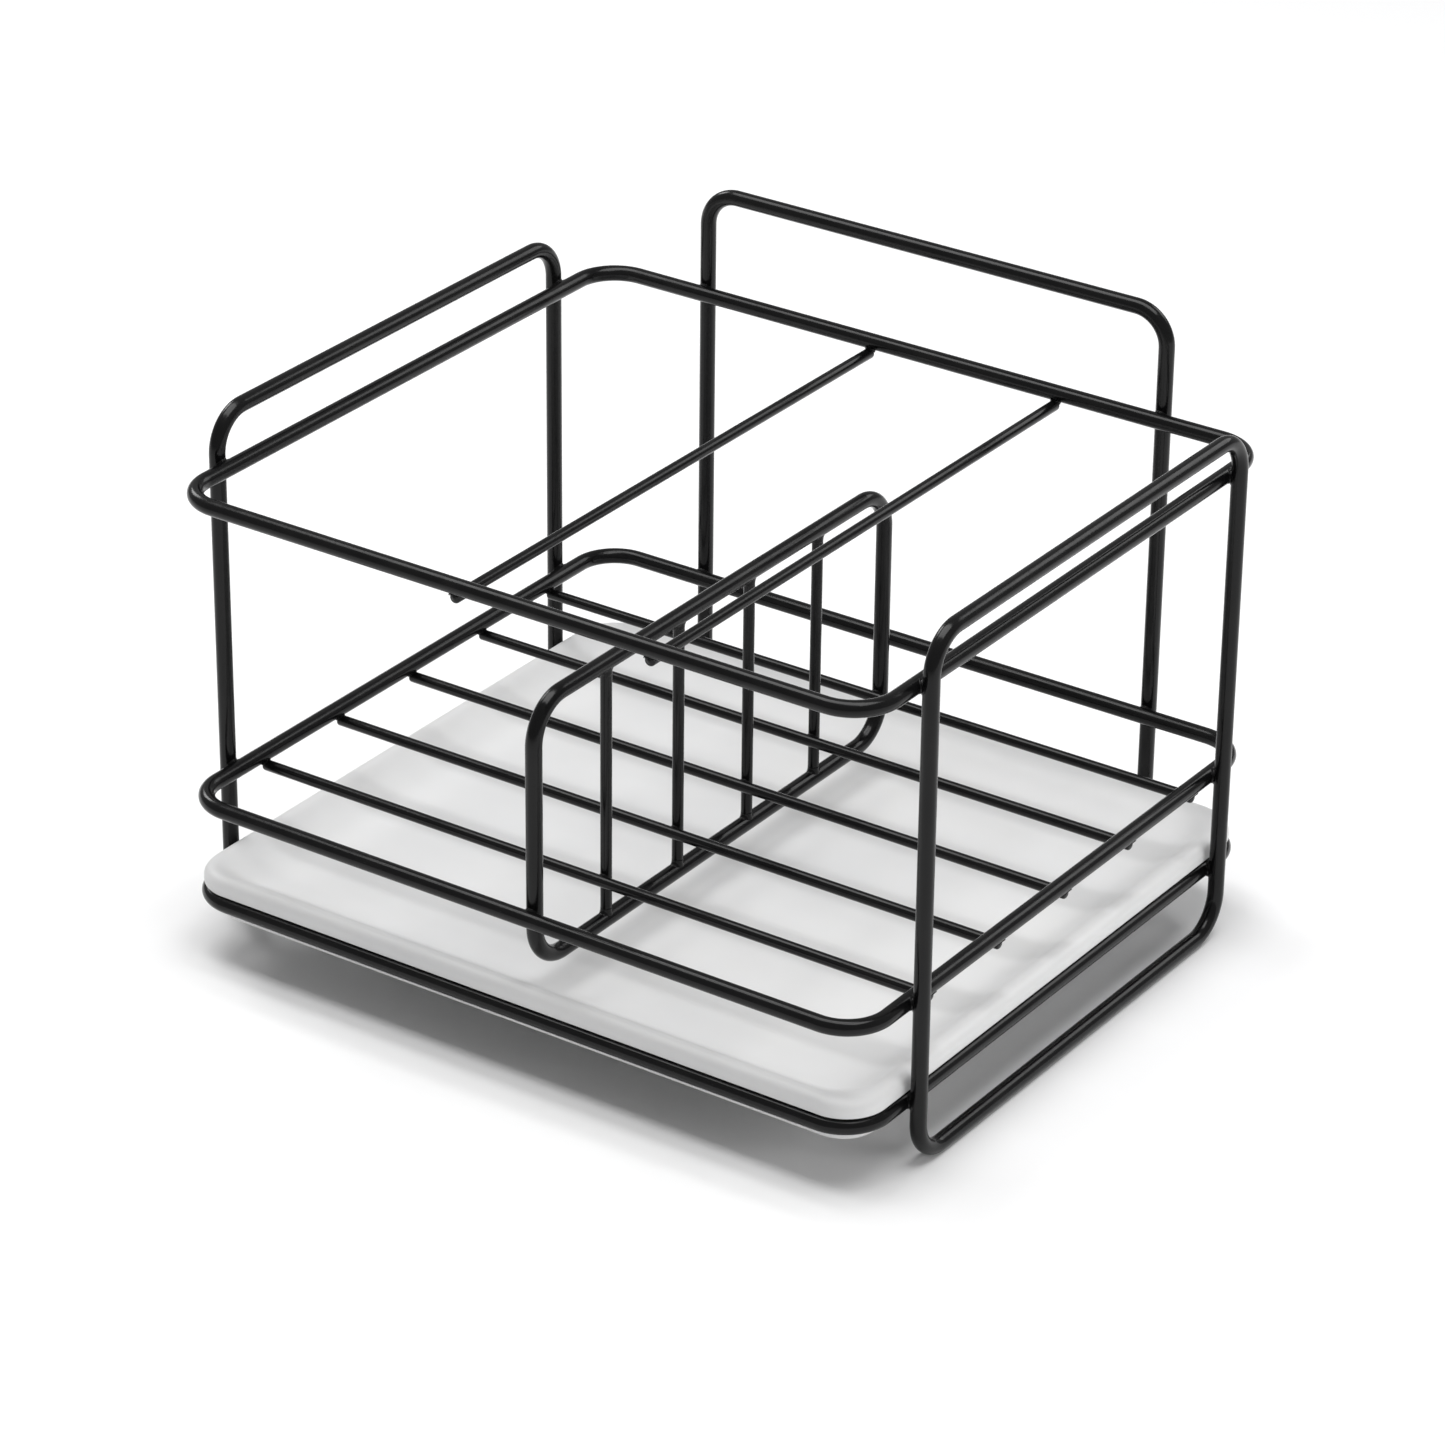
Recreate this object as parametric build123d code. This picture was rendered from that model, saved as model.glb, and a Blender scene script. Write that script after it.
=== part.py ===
from build123d import *
import os

# Dish drying rack: welded wire frame, standing on three hoops, with a loose drip tray.
# Frame: +Z up from the counter, +X along the long front, +Y towards the back.
# Origin: on the counter, under the middle of the overall footprint.

WIRE = 5.0              # diameter of the wire of rings, hoops and divider loop
ROD = 3.5               # diameter of the thin wire of floor, top and divider bars
SET_DOWN = 0.4          # how far two crossing 5 mm wires sink into each other when welded
ROD_SET_DOWN = 0.25     # the same where a thin wire is one of the two
BUTT_SINK = 0.6         # how far the end of a divider bar melts into the loop
ROD_END_ROUND = 0.5     # rounding of the cut ends of the thin wires

RING_X = 240.0          # the three rings are alike, measured on the wire centre line
RING_Y = 213.0
RING_CORNER = 13.5
BOTTOM_RING_Z = 21.0
MIDDLE_RING_Z = 53.0
TOP_RING_Z = 152.5

SIDE_HOOP_Y = 167.0     # side hoops, centre line to centre line
SIDE_HOOP_TOP_Z = 167.5
SIDE_HOOP_CORNER = 12.0
SIDE_HOOP_OFFSET_Y = 1.5

BACK_HOOP_X = 166.6     # back hoop, centre line to centre line
BACK_HOOP_TOP_Z = 185.5
BACK_HOOP_CORNER = 11.0

FLOOR_FIRST_Y = -70.0   # floor wires run along X, under the middle ring
FLOOR_PITCH = 36.4
FLOOR_COUNT = 5
FLOOR_END = 0.3         # length past the middle line of the rail at each end

TOP_CROSS_X = (-19.0, 48.2)   # top cross wires run along Y, under the top ring
TOP_END = 0.3           # length past the middle line of the rail at each end

DIVIDER_X = 5.0
DIVIDER_LOW_Z = 34.9
DIVIDER_HIGH_Z = 119.3
DIVIDER_CORNER = 13.0
DIVIDER_BARS = 4

TRAY_X = 242.4          # drip tray, outside of its beaded rim
TRAY_Y = 215.4
TRAY_CORNER = 13.5
TRAY_SEAT_GAP = 0.3     # play between the rim and the bottom ring it rests on
TRAY_TOP_Z = 29.3
TRAY_NOSE = 2.9         # rounding of the outer edge of the bead
TRAY_BEAD_WIDTH = 3.2   # from the outer edge to the crest of the bead
TRAY_RIM_WIDTH = 6.2    # from the outer edge to where the hollow starts
TRAY_RIM_FOOT_Z = 28.6
TRAY_FLOOR_Z = 24.6
TRAY_BORDER_WIDTH = 25.0  # dished border, steep at the rim and flat where it meets the floor
TRAY_BORDER_CORNER = 8.0
TRAY_BORDER_DIVE = 5       # how sharply the border drops away from the rim
TRAY_BORDER_STEPS = (0.0, 0.08, 0.18, 0.32, 0.6, 1.0)
TRAY_WALL = 1.8
TRAY_SKIRT_INSET = 4.3   # the skirt hangs just inside the bottom ring
TRAY_SKIRT_CORNER = 11.0
TRAY_SKIRT_LOW_Z = 14.5

# Distances that follow from the ones above
WIRE_TO_WIRE = WIRE - SET_DOWN
WIRE_TO_ROD = (WIRE + ROD) / 2 - ROD_SET_DOWN
ROD_TO_ROD = ROD - ROD_SET_DOWN
HOOP_LOW_Z = WIRE / 2
FRONT_REACH = RING_Y / 2 + WIRE / 2
BACK_REACH = RING_Y / 2 + WIRE_TO_WIRE + WIRE / 2
RING_MID_Y = (FRONT_REACH - BACK_REACH) / 2
FLOOR_Z = MIDDLE_RING_Z - WIRE_TO_ROD
TOP_CROSS_Z = TOP_RING_Z - WIRE_TO_ROD


def in_rack(x, y, z):
    """Place measured from the centre of the rings, at counter height."""
    return Location((x, RING_MID_Y + y, z))


def closed_loop(plane, width, height, corner, wire):
    """Round wire bent to a rounded rectangle and welded end to end."""
    path = (plane * RectangleRounded(width, height, corner)).face().outer_wire()
    start = Plane(origin=path @ 0, z_dir=path % 0)
    return sweep(start * Circle(wire / 2), path=path)


def straight_rod(length, wire, rotation):
    """Straight cut length of wire with slightly rounded ends."""
    rod = Cylinder(wire / 2, length)
    rod = fillet(rod.edges().filter_by(GeomType.CIRCLE), ROD_END_ROUND)
    return Rotation(*rotation) * rod


def ring(height):
    """One of the three level rings that carry everything else."""
    plane = Plane(origin=(0, RING_MID_Y, height), z_dir=(0, 0, 1), x_dir=(1, 0, 0))
    return closed_loop(plane, RING_X, RING_Y, RING_CORNER, WIRE)


def side_hoop(side):
    """Upright hoop outside the rings: its lower bar is a foot, its upper bar a side rail."""
    x = side * (RING_X / 2 + WIRE_TO_WIRE)
    middle = (HOOP_LOW_Z + SIDE_HOOP_TOP_Z) / 2
    plane = Plane(
        origin=(x, RING_MID_Y + SIDE_HOOP_OFFSET_Y, middle), z_dir=(1, 0, 0), x_dir=(0, 1, 0)
    )
    height = SIDE_HOOP_TOP_Z - HOOP_LOW_Z
    return closed_loop(plane, SIDE_HOOP_Y, height, SIDE_HOOP_CORNER, WIRE)


def back_hoop():
    """The tallest hoop, behind the rings."""
    y = RING_MID_Y + RING_Y / 2 + WIRE_TO_WIRE
    middle = (HOOP_LOW_Z + BACK_HOOP_TOP_Z) / 2
    plane = Plane(origin=(0, y, middle), z_dir=(0, -1, 0), x_dir=(1, 0, 0))
    return closed_loop(
        plane, BACK_HOOP_X, BACK_HOOP_TOP_Z - HOOP_LOW_Z, BACK_HOOP_CORNER, WIRE
    )


def floor_wire_y(number):
    """Row of floor wires, number 0 nearest the front."""
    return FLOOR_FIRST_Y + number * FLOOR_PITCH


def floor_wire(number):
    """Thin wire the plates stand on, welded under the middle ring."""
    length = RING_X + 2 * FLOOR_END
    return in_rack(0, floor_wire_y(number), FLOOR_Z) * straight_rod(length, ROD, (0, 90, 0))


def top_cross_wire(x):
    """Thin wire across the open top, welded under the top ring."""
    length = RING_Y + 2 * TOP_END
    return in_rack(x, 0, TOP_CROSS_Z) * straight_rod(length, ROD, (90, 0, 0))


def divider_loop():
    """Upright loop parting the rack: in front on the middle ring, behind on a floor wire."""
    front = -RING_Y / 2 + WIRE_TO_WIRE
    back = floor_wire_y(FLOOR_COUNT - 1) + WIRE_TO_ROD
    plane = Plane(
        origin=(
            DIVIDER_X,
            RING_MID_Y + (front + back) / 2,
            (DIVIDER_LOW_Z + DIVIDER_HIGH_Z) / 2,
        ),
        z_dir=(1, 0, 0),
        x_dir=(0, 1, 0),
    )
    height = DIVIDER_HIGH_Z - DIVIDER_LOW_Z
    return closed_loop(plane, back - front, height, DIVIDER_CORNER, WIRE)


def divider_bar(number):
    """Thin upright inside the divider loop, welded to the back of one floor wire."""
    y = floor_wire_y(number) + ROD_TO_ROD
    middle = (DIVIDER_LOW_Z + DIVIDER_HIGH_Z) / 2
    length = DIVIDER_HIGH_Z - DIVIDER_LOW_Z - WIRE + 2 * BUTT_SINK
    return in_rack(DIVIDER_X, y, middle) * Cylinder(ROD / 2, length)


def tray_outline(inset, corner):
    """Rounded rectangle, a given distance inside the rim of the tray."""
    return RectangleRounded(TRAY_X - 2 * inset, TRAY_Y - 2 * inset, corner)


def basin_level(share):
    """Outline of the hollow, a share of the way down the border from the rim to the floor."""
    inset = TRAY_RIM_WIDTH + TRAY_BORDER_WIDTH * share
    height = TRAY_FLOOR_Z + (TRAY_RIM_FOOT_Z - TRAY_FLOOR_Z) * (1 - share) ** TRAY_BORDER_DIVE
    corner = TRAY_CORNER + (TRAY_BORDER_CORNER - TRAY_CORNER) * share
    return Pos(0, 0, height) * tray_outline(inset, corner)


def tray_basin():
    """The shallow hollow of the tray: back of the bead, a dished border and a flat floor."""
    crest = Pos(0, 0, TRAY_TOP_Z) * tray_outline(TRAY_BEAD_WIDTH, TRAY_CORNER)
    levels = [crest] + [basin_level(share) for share in TRAY_BORDER_STEPS]
    hollow = loft(levels[:2])
    for upper, lower in zip(levels[1:], levels[2:]):
        hollow += loft([upper, lower])
    return hollow


def drip_tray():
    """Loose moulded tray; its beaded rim lies on the bottom ring, its skirt hangs inside it."""
    seat = BOTTOM_RING_Z + WIRE / 2 + TRAY_SEAT_GAP
    under = TRAY_FLOOR_Z - TRAY_WALL
    rim = extrude(Pos(0, 0, seat) * tray_outline(0, TRAY_CORNER), TRAY_TOP_Z - seat)
    rim = fillet(rim.faces().sort_by(Axis.Z)[-1].edges(), TRAY_NOSE)
    rim = fillet(rim.faces().sort_by(Axis.Z)[0].edges(), TRAY_WALL / 2)
    skirt = tray_outline(TRAY_SKIRT_INSET, TRAY_SKIRT_CORNER)
    tray = rim + extrude(Pos(0, 0, TRAY_SKIRT_LOW_Z) * skirt, seat + 1 - TRAY_SKIRT_LOW_Z)
    tray -= tray_basin()
    inside = tray_outline(TRAY_SKIRT_INSET + TRAY_WALL, TRAY_SKIRT_CORNER - TRAY_WALL)
    tray -= extrude(Pos(0, 0, TRAY_SKIRT_LOW_Z) * inside, under - TRAY_SKIRT_LOW_Z)
    return in_rack(0, 0, 0) * tray


def write_step(shape, name):
    """Save one piece under its own name."""
    export_step(shape, f"parts/{name}.step")


os.makedirs("parts", exist_ok=True)
write_step(ring(TOP_RING_Z), "top_ring")
write_step(ring(MIDDLE_RING_Z), "middle_ring")
write_step(ring(BOTTOM_RING_Z), "bottom_ring")
write_step(side_hoop(-1), "left_hoop")
write_step(side_hoop(1), "right_hoop")
write_step(back_hoop(), "back_hoop")
write_step(divider_loop(), "divider_loop")
for index in range(DIVIDER_BARS):
    write_step(divider_bar(index), f"divider_bar_{index + 1}")
for index in range(FLOOR_COUNT):
    write_step(floor_wire(index), f"floor_wire_{index + 1}")
for index, cross_x in enumerate(TOP_CROSS_X):
    write_step(top_cross_wire(cross_x), f"top_cross_wire_{index + 1}")
write_step(drip_tray(), "drip_tray")
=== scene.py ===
import math

import bpy
import numpy as np
from mathutils import Matrix, Vector


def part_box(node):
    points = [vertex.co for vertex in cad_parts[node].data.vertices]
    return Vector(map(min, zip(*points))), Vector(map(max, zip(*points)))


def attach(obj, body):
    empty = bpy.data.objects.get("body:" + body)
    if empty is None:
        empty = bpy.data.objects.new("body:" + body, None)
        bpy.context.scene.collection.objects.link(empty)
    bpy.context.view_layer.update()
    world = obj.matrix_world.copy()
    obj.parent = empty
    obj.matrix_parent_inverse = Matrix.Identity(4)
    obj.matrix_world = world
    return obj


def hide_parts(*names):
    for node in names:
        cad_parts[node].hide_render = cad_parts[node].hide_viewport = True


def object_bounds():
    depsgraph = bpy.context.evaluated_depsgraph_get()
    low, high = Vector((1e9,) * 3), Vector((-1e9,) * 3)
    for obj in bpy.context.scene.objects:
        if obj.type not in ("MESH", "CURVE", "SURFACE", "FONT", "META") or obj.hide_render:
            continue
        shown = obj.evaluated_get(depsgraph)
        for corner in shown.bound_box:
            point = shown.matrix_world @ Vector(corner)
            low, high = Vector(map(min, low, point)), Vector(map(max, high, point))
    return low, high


# Dish drying rack: gloss black coated wire, welded at the crossings, with a pale drip tray.
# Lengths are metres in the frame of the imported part: +X along the front, +Y to the back.

MM = 0.001

# Sizes the boxes of the parts don't give
RING_CORNER = 13.5 * MM
SIDE_HOOP_CORNER = 12.0 * MM
BACK_HOOP_CORNER = 11.0 * MM
DIVIDER_CORNER = 13.0 * MM
CUT_END_ROUND = 0.8 * MM
BAR_END_ROUND = 0.2 * MM
CUT_END_DOME = 0.1 * MM      # how far the coating swells over a cut end
TRAY_CORNER = 13.5 * MM
TRAY_NOSE = 2.9 * MM
TRAY_BEAD_WIDTH = 3.2 * MM
TRAY_RIM_WIDTH = 6.2 * MM
TRAY_RIM_DROP = 0.7 * MM
TRAY_DEPTH = 4.7 * MM
TRAY_BORDER_WIDTH = 25.0 * MM
TRAY_BORDER_DIVE = 5
TRAY_FLOOR_CORNER = 8.0 * MM
TRAY_BEAD_PULL = 1.6 * MM    # how far past the crest the bead stays nearly level
TRAY_FLOOR_START = 4 * MM    # first flat strip of the floor, inside the border
TRAY_SKIRT_INSET = 4.3 * MM
TRAY_WALL = 1.8 * MM
TRAY_FOOT_BEVEL = 0.5 * MM   # broken edges of the skirt's foot
SEAT_GAP = 0.3 * MM

# Mesh fineness
WIRE_SIDES = 40
ROD_SIDES = 32
CORNER_STEPS = 20
STRAIGHT_STEP = 12.0 * MM
CUT_END_STEPS = 6
NOSE_STEPS = 16
FOOT_STEPS = 6
BEAD_STEPS = 14
BORDER_STEPS = 30
WELD_SIDES = 40
WELD_STEPS = 10
WELD_GAP = 1.0 * MM          # width at which the coating bridges the notch of a crossing
WELD_TAIL = 0.55 * MM        # how much wider a weld is where it runs out on the wires
WELD_SEARCH_STEP = 0.03 * MM
WELD_WIDEST = 0.86           # share of the thinner wire's radius that a weld may fill
WIRE_SIDE = 0.97             # share of a wire's radius past which a weld would leave it
BUTT_HEIGHT = 1.5 * MM
BUTT_WIDTH = 1.0 * MM

# The angle the object is looked at from
CAMERA_AZIMUTH = 34.38
CAMERA_ELEVATION = 27.38
CAMERA_ROLL = 0.61
CAMERA_TARGET = (-0.01617, 0.02132, 0.05528)
CAMERA_DISTANCE = 1.6925
CAMERA_LENS = 137.8

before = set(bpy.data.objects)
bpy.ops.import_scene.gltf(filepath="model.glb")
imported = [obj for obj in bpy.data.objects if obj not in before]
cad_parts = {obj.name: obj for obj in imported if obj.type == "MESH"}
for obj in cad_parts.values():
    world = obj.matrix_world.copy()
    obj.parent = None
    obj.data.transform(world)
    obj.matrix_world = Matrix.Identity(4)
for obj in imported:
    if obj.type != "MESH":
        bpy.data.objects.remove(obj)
CAD_LOW, CAD_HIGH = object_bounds()
random = np.random.default_rng(11)


# ---------------------------------------------------------------- materials

def new_material(name):
    """Empty node material with one Principled shader; returns the pieces used to wire it."""
    material = bpy.data.materials.new(name)
    material.use_nodes = True
    tree = material.node_tree
    shader = tree.nodes["Principled BSDF"]
    place = tree.nodes.new("ShaderNodeTexCoord")
    return material, tree, shader, place.outputs["Object"]


def add_noise(tree, place, size, detail=3.0, roughness=0.5):
    """Noise whose lumps are about `size` metres across."""
    node = tree.nodes.new("ShaderNodeTexNoise")
    node.inputs["Scale"].default_value = 1.0 / size
    node.inputs["Detail"].default_value = detail
    node.inputs["Roughness"].default_value = roughness
    tree.links.new(place, node.inputs["Vector"])
    return node.outputs["Fac"]


def add_ramp(tree, value, stops):
    """Colour ramp through (position, colour) stops."""
    node = tree.nodes.new("ShaderNodeValToRGB")
    ramp = node.color_ramp
    ramp.elements[0].position, ramp.elements[0].color = stops[0][0], (*stops[0][1], 1)
    ramp.elements[1].position, ramp.elements[1].color = stops[-1][0], (*stops[-1][1], 1)
    for position, colour in stops[1:-1]:
        ramp.elements.new(position).color = (*colour, 1)
    tree.links.new(value, node.inputs["Fac"])
    return node.outputs["Color"]


def add_range(tree, value, low, high):
    """Stretches a 0.3 to 0.7 noise to low..high."""
    node = tree.nodes.new("ShaderNodeMapRange")
    node.inputs["From Min"].default_value = 0.3
    node.inputs["From Max"].default_value = 0.7
    node.inputs["To Min"].default_value = low
    node.inputs["To Max"].default_value = high
    tree.links.new(value, node.inputs["Value"])
    return node.outputs["Result"]


def add_bump(tree, shader, layers):
    """Stacks (height, strength, distance) bump layers onto the shader's normal."""
    normal = None
    for height, strength, distance in layers:
        node = tree.nodes.new("ShaderNodeBump")
        node.inputs["Strength"].default_value = strength
        node.inputs["Distance"].default_value = distance
        tree.links.new(height, node.inputs["Height"])
        if normal is not None:
            tree.links.new(normal, node.inputs["Normal"])
        normal = node.outputs["Normal"]
    tree.links.new(normal, shader.inputs["Normal"])


def black_coating(name, lumpiness):
    """Gloss black coating on wire: faint orange peel, specks of dust and uneven gloss."""
    material, tree, shader, place = new_material(name)
    drift = add_noise(tree, place, 14 * MM)
    colour = add_ramp(
        tree,
        drift,
        [(0.3, (0.0025, 0.0025, 0.0027)), (0.55, (0.0042, 0.0042, 0.0044)),
         (0.75, (0.0068, 0.0066, 0.0064))],
    )
    tree.links.new(colour, shader.inputs["Base Color"])
    gloss = add_noise(tree, place, 5 * MM, detail=5.0)
    tree.links.new(add_range(tree, gloss, 0.14, 0.24), shader.inputs["Roughness"])
    shader.inputs["Specular IOR Level"].default_value = 0.25
    peel = add_noise(tree, place, 1.6 * MM, detail=1.5)
    specks = add_noise(tree, place, 0.45 * MM, detail=2.0)
    layers = [(peel, 0.35 * lumpiness, 0.05 * MM), (specks, 0.18 * lumpiness, 0.02 * MM)]
    add_bump(tree, shader, layers)
    return material


def tray_plastic():
    """Pale grey moulded plastic with a soft satin grain."""
    material, tree, shader, place = new_material("tray_plastic")
    drift = add_noise(tree, place, 60 * MM, detail=4.0)
    colour = add_ramp(
        tree,
        drift,
        [(0.32, (0.66, 0.662, 0.665)), (0.5, (0.685, 0.686, 0.687)),
         (0.72, (0.71, 0.71, 0.708))],
    )
    tree.links.new(colour, shader.inputs["Base Color"])
    satin = add_noise(tree, place, 9 * MM, detail=6.0)
    tree.links.new(add_range(tree, satin, 0.36, 0.48), shader.inputs["Roughness"])
    shader.inputs["Specular IOR Level"].default_value = 0.45
    shader.inputs["Subsurface Weight"].default_value = 0.08
    shader.inputs["Subsurface Radius"].default_value = (0.004, 0.0036, 0.003)
    shader.inputs["Subsurface Scale"].default_value = 0.4
    grain = add_noise(tree, place, 0.9 * MM, detail=4.0, roughness=0.6)
    sink = add_noise(tree, place, 35 * MM, detail=1.0)
    add_bump(tree, shader, [(sink, 0.25, 0.5 * MM), (grain, 0.22, 0.04 * MM)])
    return material


def floor_paper():
    """Plain white sweep with a barely visible tooth."""
    material, tree, shader, place = new_material("floor_paper")
    drift = add_noise(tree, place, 0.5, detail=2.0)
    colour = add_ramp(tree, drift, [(0.3, (0.88, 0.88, 0.885)), (0.7, (0.9, 0.9, 0.9))])
    tree.links.new(colour, shader.inputs["Base Color"])
    shader.inputs["Roughness"].default_value = 0.75
    shader.inputs["Specular IOR Level"].default_value = 0.2
    tooth = add_noise(tree, place, 1.2 * MM, detail=3.0)
    add_bump(tree, shader, [(tooth, 0.08, 0.05 * MM)])
    return material


# ------------------------------------------------------------- mesh helpers

def mesh_piece(name, points, faces, material):
    """Smooth-shaded mesh object from a point array and a face list."""
    mesh = bpy.data.meshes.new(name)
    mesh.from_pydata([tuple(p) for p in points], [], faces)
    mesh.update()
    mesh.polygons.foreach_set("use_smooth", np.ones(len(mesh.polygons), bool))
    mesh.materials.append(material)
    piece = bpy.data.objects.new(name, mesh)
    bpy.context.scene.collection.objects.link(piece)
    return piece


def joined(parts):
    """Several (points, faces) sets as one."""
    points, faces, offset = [], [], 0
    for part_points, part_faces in parts:
        points.append(part_points)
        faces += [tuple(i + offset for i in face) for face in part_faces]
        offset += len(part_points)
    return np.concatenate(points), faces


def band_faces(rows, columns, wrap_rows):
    """Quads between successive rows of a grid whose columns close on themselves."""
    faces = []
    for row in range(rows if wrap_rows else rows - 1):
        below = row * columns
        above = ((row + 1) % rows) * columns
        for column in range(columns):
            after = (column + 1) % columns
            faces.append((below + column, below + after, above + after, above + column))
    return faces


def rounded_rectangle(half_u, half_v, corner, step=None):
    """Points and outward normals round a rounded rectangle, anticlockwise.
    Straight stretches are cut into pieces of about `step`; without it they stay whole."""
    points, normals = [], []
    centres = [(1, 1, 0), (-1, 1, 90), (-1, -1, 180), (1, -1, 270)]
    for sign_u, sign_v, start in centres:
        middle = np.array([sign_u * (half_u - corner), sign_v * (half_v - corner)])
        for i in range(CORNER_STEPS + 1):
            angle = math.radians(start + 90 * i / CORNER_STEPS)
            normal = np.array([math.cos(angle), math.sin(angle)])
            points.append(middle + corner * normal)
            normals.append(normal)
        if step:
            along_v = start in (90, 270)
            length = 2 * ((half_v if along_v else half_u) - corner)
            count = max(int(length / step), 1)
            ahead = np.array([-normals[-1][1], normals[-1][0]])
            last = points[-1]
            for i in range(1, count):
                points.append(last + ahead * length * i / count)
                normals.append(normals[-1])
    return np.array(points), np.array(normals)


def bent_loop(centre, u, v, half_u, half_v, corner, radius):
    """Round wire following a rounded rectangle in the plane of u and v."""
    u, v = np.array(u, float), np.array(v, float)
    across = np.cross(u, v)
    path, normals = rounded_rectangle(half_u, half_v, corner, STRAIGHT_STEP)
    middles = np.array(centre) + path[:, :1] * u + path[:, 1:] * v
    outward = normals[:, :1] * u + normals[:, 1:] * v
    angles = 2 * math.pi * np.arange(WIRE_SIDES) / WIRE_SIDES
    side = np.cos(angles)[None, :, None] * outward[:, None, :]
    side = side + np.sin(angles)[None, :, None] * across[None, None, :]
    points = (middles[:, None, :] + radius * side).reshape(-1, 3)
    return points, band_faces(len(path), WIRE_SIDES, True)


def straight_rod(start, end, radius, end_round):
    """Straight wire; its sheared ends are rounded over and slightly domed by the coating."""
    start, end = np.array(start, float), np.array(end, float)
    length = np.linalg.norm(end - start)
    axis = (end - start) / length
    side_u = np.cross(axis, [0.0, 0.0, 1.0] if abs(axis[2]) < 0.9 else [1.0, 0.0, 0.0])
    side_u /= np.linalg.norm(side_u)
    side_v = np.cross(axis, side_u)
    profile = [(0.0, 0.35 * radius), (0.05 * MM, 0.7 * (radius - end_round))]
    for i in range(CUT_END_STEPS + 1):
        angle = math.pi / 2 * i / CUT_END_STEPS
        drop = CUT_END_DOME + end_round * (1 - math.sin(angle))
        profile.append((drop, radius - end_round * (1 - math.cos(angle))))
    profile.sort()
    count = max(int(length / STRAIGHT_STEP), 2)
    inner = [(length * i / count, radius) for i in range(1, count)]
    stations = profile + inner + [(length - s, r) for s, r in reversed(profile)]
    angles = 2 * math.pi * np.arange(ROD_SIDES) / ROD_SIDES
    rim = np.cos(angles)[:, None] * side_u + np.sin(angles)[:, None] * side_v
    points = np.concatenate([start + axis * s + rim * r for s, r in stations])
    faces = band_faces(len(stations), ROD_SIDES, False)
    faces.append(tuple(reversed(range(ROD_SIDES))))
    top = (len(stations) - 1) * ROD_SIDES
    faces.append(tuple(range(top, top + ROD_SIDES)))
    return points, faces


def ripple(size):
    """Smooth uneven outline, one factor for each direction round a weld."""
    angles = 2 * math.pi * np.arange(WELD_SIDES) / WELD_SIDES
    outline = np.ones(WELD_SIDES)
    for waves in (2, 3, 5):
        outline += size / waves * random.normal() * np.cos(waves * angles + random.uniform(0, 6.3))
    return outline


def crossing_weld(middle_a, axis_a, radius_a, middle_b, axis_b, radius_b):
    """Saddle of metal and coating that fills the notch where two square crossing wires touch."""
    middle_a, middle_b = np.array(middle_a, float), np.array(middle_b, float)
    axis_a, axis_b = np.array(axis_a, float), np.array(axis_b, float)
    across = middle_b - middle_a
    distance = np.linalg.norm(across)
    across /= distance
    sink = radius_a + radius_b - distance
    contact = middle_a + across * (radius_a - sink / 2)
    outline = ripple(0.05)
    points = []
    for step in range(WELD_STEPS + 1):
        share = step / WELD_STEPS
        for i in range(WELD_SIDES):
            angle = 2 * math.pi * i / WELD_SIDES
            cos, sin = math.cos(angle), math.sin(angle)
            reach = 0.0
            gap = -sink
            while gap < WELD_GAP and reach < WELD_WIDEST * min(radius_a, radius_b):
                reach += WELD_SEARCH_STEP
                drop_a = radius_a - math.sqrt(radius_a**2 - (reach * sin) ** 2)
                drop_b = radius_b - math.sqrt(radius_b**2 - (reach * cos) ** 2)
                gap = drop_a + drop_b - sink
            reach *= outline[i]
            tail = WELD_TAIL * (2 * share - 1) ** 2
            spread = min(reach + tail, WIRE_SIDE * min(radius_a, radius_b))
            low = sink / 2 - radius_a + math.sqrt(radius_a**2 - (spread * sin) ** 2)
            high = radius_b - math.sqrt(radius_b**2 - (spread * cos) ** 2) - sink / 2
            height = low + (high - low) * share
            flat = axis_a * cos + axis_b * sin
            points.append(contact + flat * spread + across * height)
    faces = band_faces(WELD_STEPS + 1, WELD_SIDES, False)
    points.append(contact - across * 0.4 * radius_a)
    points.append(contact + across * 0.4 * radius_b)
    bottom, top = len(points) - 2, len(points) - 1
    last = WELD_STEPS * WELD_SIDES
    for i in range(WELD_SIDES):
        after = (i + 1) % WELD_SIDES
        faces.append((after, i, bottom))
        faces.append((last + i, last + after, top))
    points = np.array(points)
    if np.dot(np.cross(axis_a, axis_b), across) < 0:
        faces = [tuple(reversed(face)) for face in faces]
    return points, faces


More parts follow.
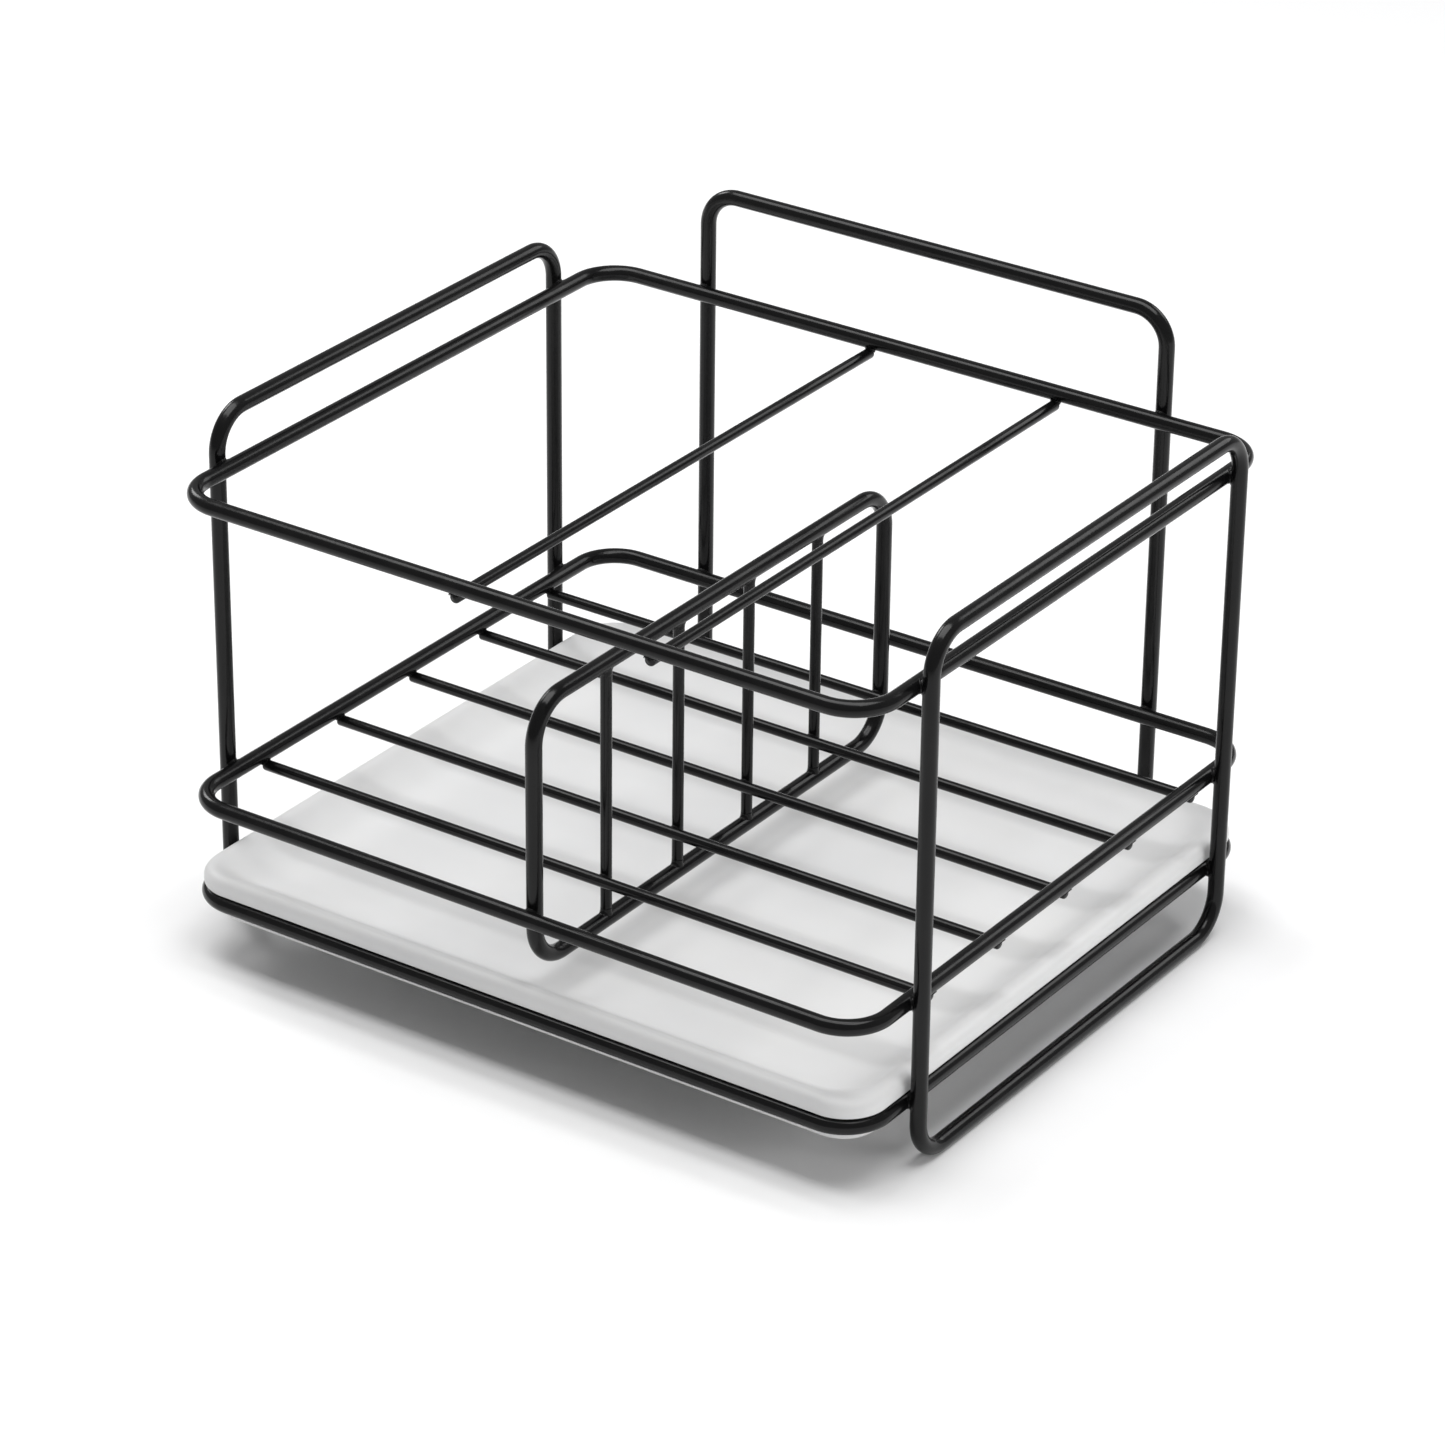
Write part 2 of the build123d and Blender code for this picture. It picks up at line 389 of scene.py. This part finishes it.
def butt_weld(crest, up, bar_radius, loop_axis, loop_radius):
    """Collar of upset metal where the end of a thin bar stands on a thicker wire."""
    crest, up, along = (np.array(v, float) for v in (crest, up, loop_axis))
    beside = np.cross(up, along)
    outline = ripple(0.12)
    points = []
    for step in range(WELD_STEPS + 1):
        turn = math.pi / 2 * step / WELD_STEPS
        for i in range(WELD_SIDES):
            angle = 2 * math.pi * i / WELD_SIDES
            cos, sin = math.cos(angle), math.sin(angle)
            width = BUTT_WIDTH * outline[i]
            foot = min(bar_radius + width, WIRE_SIDE * loop_radius / max(abs(sin), 1e-6))
            reach = bar_radius + (foot - bar_radius) * (1 - math.cos(turn))
            side = min(abs(foot * sin), 0.99 * loop_radius)
            ground = math.sqrt(loop_radius**2 - side**2) - loop_radius
            top = BUTT_HEIGHT * (2 - outline[i])
            height = ground + (top - ground) * (1 - math.sin(turn))
            points.append(crest + (along * cos + beside * sin) * reach + up * height)
    faces = band_faces(WELD_STEPS + 1, WELD_SIDES, False)
    points.append(crest + up * BUTT_HEIGHT)
    points.append(crest - up * loop_radius * 0.6)
    top, bottom = len(points) - 2, len(points) - 1
    last = WELD_STEPS * WELD_SIDES
    for i in range(WELD_SIDES):
        after = (i + 1) % WELD_SIDES
        faces.append((after, i, top))
        faces.append((last + i, last + after, bottom))
    return np.array(points), [tuple(reversed(face)) for face in faces]


# ------------------------------------------------------------------ the rack

def middle_and_half(node):
    """Middle and half size of a CAD node's box."""
    low, high = (np.array(corner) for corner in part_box(node))
    return (low + high) / 2, (high - low) / 2


def shown_for(piece, node, body):
    """Puts a piece in place of its CAD node."""
    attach(piece, body)
    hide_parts(node)


X, Y, Z = (1, 0, 0), (0, 1, 0), (0, 0, 1)
RINGS = ("top_ring", "middle_ring", "bottom_ring")
SIDE_HOOPS = ("left_hoop", "right_hoop")
FLOOR_WIRES = [f"floor_wire_{i}" for i in range(1, 6)]
DIVIDER_BARS = [f"divider_bar_{i}" for i in range(1, 5)]
TOP_WIRES = ("top_cross_wire_1", "top_cross_wire_2")

coating = black_coating("black_coating", 1.0)
weld_coating = black_coating("black_weld_coating", 2.2)


def add_loop(node, u, v, corner):
    """A ring, hoop or divider loop in place of its CAD node."""
    centre, half = middle_and_half(node)
    radius = half.min()
    half_u = abs(np.dot(half, u)) - radius
    half_v = abs(np.dot(half, v)) - radius
    points, faces = bent_loop(centre, u, v, half_u, half_v, corner, radius)
    shown_for(mesh_piece(node + "_wire", points, faces, coating), node, "rack")


def add_rod(node, axis, end_round):
    """A straight thin wire in place of its CAD node."""
    centre, half = middle_and_half(node)
    reach = np.array(axis) * abs(np.dot(half, axis))
    points, faces = straight_rod(centre - reach, centre + reach, half.min(), end_round)
    name = node + "_rod"
    shown_for(mesh_piece(name, points, faces, coating), node, "rack")


def add_welds(name, parts):
    """One piece holding a family of welds."""
    points, faces = joined(parts)
    piece = mesh_piece(name, points, faces, weld_coating)
    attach(piece, "rack")


def hoop_welds():
    """Each ring meets two uprights of every hoop."""
    parts = []
    for ring_node in RINGS:
        ring, ring_half = middle_and_half(ring_node)
        wire = ring_half[2]
        for hoop_node in SIDE_HOOPS:
            hoop, hoop_half = middle_and_half(hoop_node)
            side = math.copysign(1, hoop[0])
            rail = side * (ring_half[0] - wire)
            for end in (-1, 1):
                post = hoop[1] + end * (hoop_half[1] - wire)
                parts.append(crossing_weld((rail, post, ring[2]), Y, wire,
                                           (hoop[0], post, ring[2]), Z, wire))
        hoop, hoop_half = middle_and_half("back_hoop")
        rail = ring[1] + ring_half[1] - wire
        for end in (-1, 1):
            post = hoop[0] + end * (hoop_half[0] - wire)
            parts.append(crossing_weld((post, rail, ring[2]), X, wire,
                                       (post, hoop[1], ring[2]), Z, wire))
    return parts


def rail_welds(ring_node, rods, across_x):
    """Thin wires pass under two opposite rails of a ring."""
    ring, ring_half = middle_and_half(ring_node)
    wire = ring_half[2]
    parts = []
    for node in rods:
        rod, rod_half = middle_and_half(node)
        for end in (-1, 1):
            if across_x:
                place = (end * (ring_half[0] - wire), rod[1])
                axes = (Y, X)
            else:
                place = (rod[0], ring[1] + end * (ring_half[1] - wire))
                axes = (X, Y)
            parts.append(crossing_weld((*place, ring[2]), axes[0], wire,
                                       (*place, rod[2]), axes[1], rod_half[2]))
    return parts


def divider_welds():
    """The divider stands on the middle ring, the floor wires and its own bars."""
    loop, half = middle_and_half("divider_loop")
    wire = half[0]
    ring, ring_half = middle_and_half("middle_ring")
    front = loop[1] - half[1] + wire
    back = loop[1] + half[1] - wire
    rail = ring[1] - ring_half[1] + wire
    last, last_half = middle_and_half(FLOOR_WIRES[-1])
    x = loop[0]
    parts = [
        crossing_weld((x, rail, ring[2]), X, wire, (x, front, ring[2]), Z, wire),
        crossing_weld((x, last[1], last[2]), X, last_half[2], (x, back, last[2]), Z, wire),
    ]
    for bar_node, floor_node in zip(DIVIDER_BARS, FLOOR_WIRES):
        bar, bar_half = middle_and_half(bar_node)
        floor_wire, floor_half = middle_and_half(floor_node)
        level = floor_wire[2]
        parts.append(crossing_weld((x, floor_wire[1], level), X, floor_half[2],
                                   (x, bar[1], level), Z, bar_half[0]))
        for end in (-1, 1):
            crest = loop[2] + end * (half[2] - 2 * wire)
            parts.append(butt_weld((x, bar[1], crest), (0, 0, -end), bar_half[0], Y, wire))
    return parts


for ring_name in RINGS:
    add_loop(ring_name, X, Y, RING_CORNER)
for hoop_name in SIDE_HOOPS:
    add_loop(hoop_name, Y, Z, SIDE_HOOP_CORNER)
add_loop("back_hoop", Z, X, BACK_HOOP_CORNER)
add_loop("divider_loop", Y, Z, DIVIDER_CORNER)
for wire_name in FLOOR_WIRES:
    add_rod(wire_name, X, CUT_END_ROUND)
for wire_name in TOP_WIRES:
    add_rod(wire_name, Y, CUT_END_ROUND)
for bar_name in DIVIDER_BARS:
    add_rod(bar_name, Z, BAR_END_ROUND)
add_welds("hoop_welds", hoop_welds())
add_welds("floor_wire_welds", rail_welds("middle_ring", FLOOR_WIRES, True))
add_welds("top_wire_welds", rail_welds("top_ring", TOP_WIRES, False))
add_welds("divider_welds", divider_welds())


# ------------------------------------------------------------------ the tray

def arc(centre, radius, start, end, steps):
    """Points (inset, height) on a quarter round; 180 degrees is the outward side."""
    points = []
    for i in range(steps + 1):
        angle = math.radians(start + (end - start) * i / steps)
        points.append((centre[0] + radius * math.cos(angle), centre[1] + radius * math.sin(angle)))
    return points


def tray_profile(low, seat, top):
    """Rows of (inset from the outer edge, height, corner radius): over the rim to the basin's
    floor, and along the underside from the seat down the skirt to the hollow."""
    foot_round = TRAY_WALL / 2
    floor = top - TRAY_DEPTH
    over = arc((foot_round, seat + foot_round), foot_round, 270, 180, FOOT_STEPS)
    over += arc((TRAY_NOSE, top - TRAY_NOSE), TRAY_NOSE, 180, 90, NOSE_STEPS)
    # the back of the bead rolls over into the dished border
    rim_foot = top - TRAY_RIM_DROP
    border = []
    for i in range(BORDER_STEPS + 1):
        share = i / BORDER_STEPS
        border.append((TRAY_RIM_WIDTH + TRAY_BORDER_WIDTH * share,
                       floor + (rim_foot - floor) * (1 - share) ** TRAY_BORDER_DIVE))
    start, pull, end = (TRAY_NOSE, top), (TRAY_BEAD_WIDTH + TRAY_BEAD_PULL, top), border[2]
    low_pull = (TRAY_RIM_WIDTH - 0.2 * MM, rim_foot + 0.1 * MM)
    for i in range(1, BEAD_STEPS):
        share = i / BEAD_STEPS
        weights = ((1 - share) ** 3, 3 * share * (1 - share) ** 2,
                   3 * share**2 * (1 - share), share**3)
        pulls = (start, pull, low_pull, end)
        over.append(tuple(sum(w * p[k] for w, p in zip(weights, pulls)) for k in (0, 1)))
    over += border[2:]
    edge = TRAY_RIM_WIDTH + TRAY_BORDER_WIDTH
    over.append((edge + TRAY_FLOOR_START, floor))
    insets = [0.0, TRAY_RIM_WIDTH, edge, edge + TRAY_FLOOR_START]
    corners = [TRAY_CORNER, TRAY_CORNER, TRAY_FLOOR_CORNER, TRAY_FLOOR_CORNER - 1 * MM]
    over = [(i, z, float(np.interp(i, insets, corners))) for i, z in over]
    skirt, wall, below = TRAY_SKIRT_INSET, TRAY_WALL, floor - TRAY_WALL
    under = [
        (foot_round + 1 * MM, seat), (skirt - 0.3 * MM, seat), (skirt, seat - 0.3 * MM),
        (skirt, low + TRAY_FOOT_BEVEL), (skirt + TRAY_FOOT_BEVEL, low),
        (skirt + wall - TRAY_FOOT_BEVEL, low), (skirt + wall, low + TRAY_FOOT_BEVEL),
        (skirt + wall, below - 0.8 * MM), (skirt + wall + 0.8 * MM, below),
        (skirt + wall + 8 * MM, below),
    ]
    under = [(i, z, TRAY_CORNER - min(i * 0.6, 8 * MM)) for i, z in under]
    return over, under


def tray_mesh(centre_x, centre_y, half_x, half_y, low, seat, top):
    """The whole moulded tray as one closed skin."""
    over, under = tray_profile(low, seat, top)
    rows = list(reversed(under)) + over
    points = []
    for inset, height, corner in rows:
        outline, _ = rounded_rectangle(half_x - inset, half_y - inset, corner)
        for x, y in outline:
            points.append((centre_x + x, centre_y + y, height))
    columns = 4 * (CORNER_STEPS + 1)
    faces = band_faces(len(rows), columns, False)
    faces.append(tuple(reversed(range(columns))))
    last = (len(rows) - 1) * columns
    faces.append(tuple(range(last, last + columns)))
    return np.array(points), faces


def add_tray():
    """The drip tray in place of its CAD node; its sharp turns are shaded as edges."""
    low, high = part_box("drip_tray")
    ring_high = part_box("bottom_ring")[1]
    seat = ring_high.z + SEAT_GAP
    centre = (low + high) / 2
    half = (high - low) / 2
    points, faces = tray_mesh(centre.x, centre.y, half.x, half.y, low.z, seat, high.z)
    piece = mesh_piece("moulded_tray", points, faces, tray_plastic())
    sharp = piece.modifiers.new("crisp_edges", "EDGE_SPLIT")
    sharp.split_angle = math.radians(50)
    shown_for(piece, "drip_tray", "tray")


add_tray()


# ------------------------------------------------------- floor, lights, camera

def add_floor():
    """Wide white sweep the rack stands on."""
    half = 6.0
    points = [(-half, -half, 0), (half, -half, 0), (half, half, 0), (-half, half, 0)]
    floor = mesh_piece("floor", np.array(points), [(0, 1, 2, 3)], floor_paper())


def add_softbox(name, place, aim, size, power, reflected=True):
    """Flat area light aimed at a point; an unreflected one lights but leaves no glint."""
    light = bpy.data.lights.new(name, "AREA")
    light.shape = "RECTANGLE"
    light.size, light.size_y = size
    light.energy = power
    lamp = bpy.data.objects.new(name, light)
    lamp.location = place
    lamp.visible_glossy = reflected
    direction = Vector(aim) - Vector(place)
    lamp.rotation_mode = "QUATERNION"
    lamp.rotation_quaternion = direction.to_track_quat("-Z", "Y")
    bpy.context.scene.collection.objects.link(lamp)


def add_room_light(strength):
    """Even pale light from all round."""
    world = bpy.data.worlds.new("room")
    world.use_nodes = True
    backdrop = world.node_tree.nodes["Background"]
    backdrop.inputs["Color"].default_value = (1.0, 1.0, 1.0, 1.0)
    backdrop.inputs["Strength"].default_value = strength
    bpy.context.scene.world = world


def add_camera(azimuth, elevation, roll, target, distance, lens):
    """Camera on a sphere round the target; azimuth 0 looks along +Y."""
    turn, tilt = math.radians(azimuth), math.radians(elevation)
    back = Vector((math.sin(turn) * math.cos(tilt), -math.cos(turn) * math.cos(tilt),
                   math.sin(tilt)))
    data = bpy.data.cameras.new("camera")
    data.lens = lens
    data.sensor_width = 36.0
    data.clip_start, data.clip_end = 0.05, 50.0
    camera = bpy.data.objects.new("camera", data)
    look = (-back).to_track_quat("-Z", "Y")
    spin = Matrix.Rotation(math.radians(roll), 4, "Z").to_quaternion()
    camera.rotation_mode = "QUATERNION"
    camera.rotation_quaternion = look @ spin
    camera.location = Vector(target) + back * distance
    bpy.context.scene.collection.objects.link(camera)
    bpy.context.scene.camera = camera


add_floor()
add_room_light(0.32)
middle = (CAD_LOW + CAD_HIGH) / 2
add_softbox("overhead", (-0.15, -0.05, 1.6), (-0.15, -0.05, 0), (1.9, 0.9), 25.5)
add_softbox("left_back", (-1.44, 0.4, 1.0), middle, (0.5, 0.5), 5.5)
add_softbox("right_back", (0.46, 1.42, 1.0), middle, (0.8, 0.7), 4.5)
add_softbox("right_fill", (1.6, 0.1, 0.6), middle, (0.9, 0.5), 8.0, reflected=False)
add_camera(CAMERA_AZIMUTH, CAMERA_ELEVATION, CAMERA_ROLL, CAMERA_TARGET, CAMERA_DISTANCE,
           CAMERA_LENS)
bpy.context.scene.view_settings.view_transform = "Standard"
